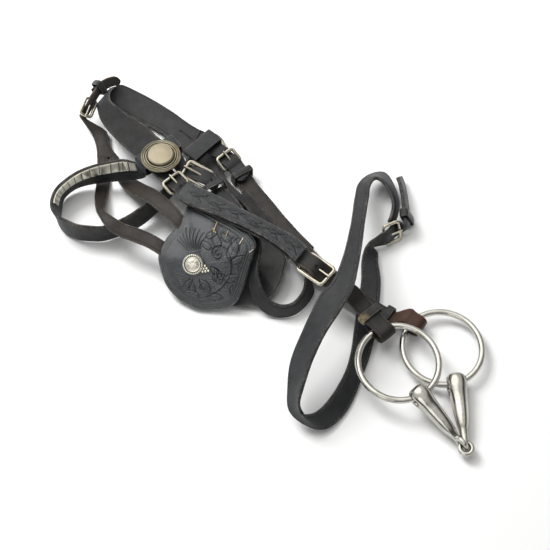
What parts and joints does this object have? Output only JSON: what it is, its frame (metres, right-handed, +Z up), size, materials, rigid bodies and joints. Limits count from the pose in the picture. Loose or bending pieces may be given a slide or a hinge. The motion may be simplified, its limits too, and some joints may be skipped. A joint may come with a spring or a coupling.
{
  "type": "driving bridle",
  "caption": "Folded leather driving bridle with domed blinkers, studded browband, rosettes, a closed noseband loop and a jointed loose-ring snaffle bit, lying flat on its side.",
  "frame": {"origin": "middle of the bounding box, on the table plane it lies on", "axes": "+Z up off the table; +X towards the bit rings; +Y towards the crown"},
  "size_m": [0.3442, 0.3394, 0.054],
  "materials": {
    "leather_black": "waxed black harness leather, worn, with a blue-grey sheen",
    "leather_brown": "dark brown flesh-side leather",
    "leather_russet": "red-brown strap leather, worn",
    "nickel_silver": "pressed nickel silver, soft polish",
    "brass_plate": "pale champagne plated brass with patina",
    "buckle_nickel": "nickel plated wire",
    "bit_steel": "polished nickel steel"
  },
  "bodies": {
    "bridle": {"crown": "leather_black", "throat_latch": "leather_black", "near_cheek_outer": "leather_black", "near_cheek_lining": "leather_black", "far_cheek": "leather_brown", "near_bit_billet": "leather_brown", "far_bit_billet": "leather_russet", "noseband": "leather_black", "winker_stay": "leather_brown", "winker_stay_chape": "leather_brown", "browband": "leather_black", "clincher_strip": "nickel_silver", "near_rosette": "brass_plate", "near_rosette_centre": "brass_plate", "far_rosette": "brass_plate", "far_rosette_centre": "brass_plate", "near_blinker": "leather_black", "far_blinker": "leather_black", "near_concho": "nickel_silver", "far_concho": "nickel_silver", "buckle_near_cheek_top": "buckle_nickel", "buckle_near_throat": "buckle_nickel", "buckle_far_cheek": "buckle_nickel", "buckle_near_cheek_bottom": "buckle_nickel", "buckle_stay": "buckle_nickel", "buckle_noseband": "buckle_nickel"},
    "tongue_near_cheek_top": {"tongue_near_cheek_top": "buckle_nickel"},
    "tongue_near_throat": {"tongue_near_throat": "buckle_nickel"},
    "tongue_far_cheek": {"tongue_far_cheek": "buckle_nickel"},
    "tongue_near_cheek_bottom": {"tongue_near_cheek_bottom": "buckle_nickel"},
    "tongue_stay": {"tongue_stay": "buckle_nickel"},
    "tongue_noseband": {"tongue_noseband": "buckle_nickel"},
    "keeper_stay": {"keeper_stay": "leather_black"},
    "keeper_near_throat": {"keeper_near_throat": "leather_black"},
    "keeper_far_cheek": {"keeper_far_cheek": "leather_black"},
    "keeper_noseband": {"keeper_noseband": "leather_black"},
    "keeper_near_bit": {"keeper_near_bit": "leather_black"},
    "keeper_far_bit": {"keeper_far_bit": "leather_black"},
    "near_ring": {"near_ring": "bit_steel"},
    "far_ring": {"far_ring": "bit_steel"},
    "near_mouthpiece": {"near_mouthpiece": "bit_steel"},
    "far_mouthpiece": {"far_mouthpiece": "bit_steel"}
  },
  "joints": [
    {"name": "near_cheek_top_tongue_swing", "type": "hinge", "parent": "bridle", "child": "tongue_near_cheek_top", "pos_m": [-0.06508, 0.04304, 0.0376], "axis": [0.7172, 0.6957, -0.0401], "range_deg": [0, 75]},
    {"name": "near_throat_tongue_swing", "type": "hinge", "parent": "bridle", "child": "tongue_near_throat", "pos_m": [-0.04292, 0.05426, 0.0317], "axis": [0.4335, 0.9005, 0.0349], "range_deg": [0, 75]},
    {"name": "far_cheek_tongue_swing", "type": "hinge", "parent": "bridle", "child": "tongue_far_cheek", "pos_m": [-0.02438, 0.08392, 0.0089], "axis": [0.7184, 0.6942, -0.0448], "range_deg": [0, 60]},
    {"name": "near_cheek_bottom_tongue_swing", "type": "hinge", "parent": "bridle", "child": "tongue_near_cheek_bottom", "pos_m": [0.03282, -0.02261, 0.0373], "axis": [-0.6432, -0.7657, -0.0038], "range_deg": [0, 80]},
    {"name": "stay_tongue_swing", "type": "hinge", "parent": "bridle", "child": "tongue_stay", "pos_m": [-0.14742, 0.14576, 0.0191], "axis": [-0.8123, 0.1336, 0.5677], "range_deg": [0, 75]},
    {"name": "noseband_tongue_swing", "type": "hinge", "parent": "bridle", "child": "tongue_noseband", "pos_m": [0.09934, 0.01548, 0.0096], "axis": [0.2039, -0.4335, -0.8778], "range_deg": [0, 70]},
    {"name": "keeper_stay_slide", "type": "slide", "parent": "bridle", "child": "keeper_stay", "axis": [-0.6318, -0.7738, -0.045], "range_m": [-0.0008, 0.004]},
    {"name": "keeper_near_throat_slide", "type": "slide", "parent": "bridle", "child": "keeper_near_throat", "axis": [0.4238, -0.8967, 0.1277], "range_m": [-0.0015, 0.0022]},
    {"name": "keeper_far_cheek_slide", "type": "slide", "parent": "bridle", "child": "keeper_far_cheek", "axis": [0.5578, -0.8277, -0.0615], "range_m": [-0.003, 0.005]},
    {"name": "keeper_noseband_slide", "type": "slide", "parent": "bridle", "child": "keeper_noseband", "axis": [0.0122, -0.9998, -0.0146], "range_m": [-0.005, 0.0012]},
    {"name": "keeper_near_bit_slide", "type": "slide", "parent": "bridle", "child": "keeper_near_bit", "axis": [0.6382, -0.7699, 0], "range_m": [-0.004, 0.003]},
    {"name": "keeper_far_bit_slide", "type": "slide", "parent": "bridle", "child": "keeper_far_bit", "axis": [0.7933, -0.5983, 0.1129], "range_m": [-0.0038, 0]},
    {"name": "near_ring_turn", "type": "hinge", "parent": "bridle", "child": "near_ring", "pos_m": [0.10367, -0.09952, 0.0178], "axis": [0, 0, 1], "range_deg": [-20, 20]},
    {"name": "near_arm_swivel", "type": "hinge", "parent": "near_ring", "child": "near_mouthpiece", "pos_m": [0.11865, -0.12609, 0.0178], "axis": [0, 0, 1], "range_deg": [-24.7, 24.7]},
    {"name": "far_ring_turn", "type": "hinge", "parent": "bridle", "child": "far_ring", "pos_m": [0.13908, -0.08348, 0.0088], "axis": [0, 0, 1], "range_deg": [-20.36, 20.36]},
    {"name": "far_arm_swivel", "type": "hinge", "parent": "far_ring", "child": "far_mouthpiece", "pos_m": [0.14792, -0.11267, 0.0088], "axis": [0, 0, 1], "range_deg": [-24.25, 24.25]}
  ],
  "couplings": [
    {"joint": "near_arm_swivel", "follows": "near_ring_turn", "ratio": -1.2048},
    {"joint": "far_ring_turn", "follows": "near_ring_turn", "ratio": 0.9882},
    {"joint": "far_arm_swivel", "follows": "near_ring_turn", "ratio": -1.1825}
  ]
}
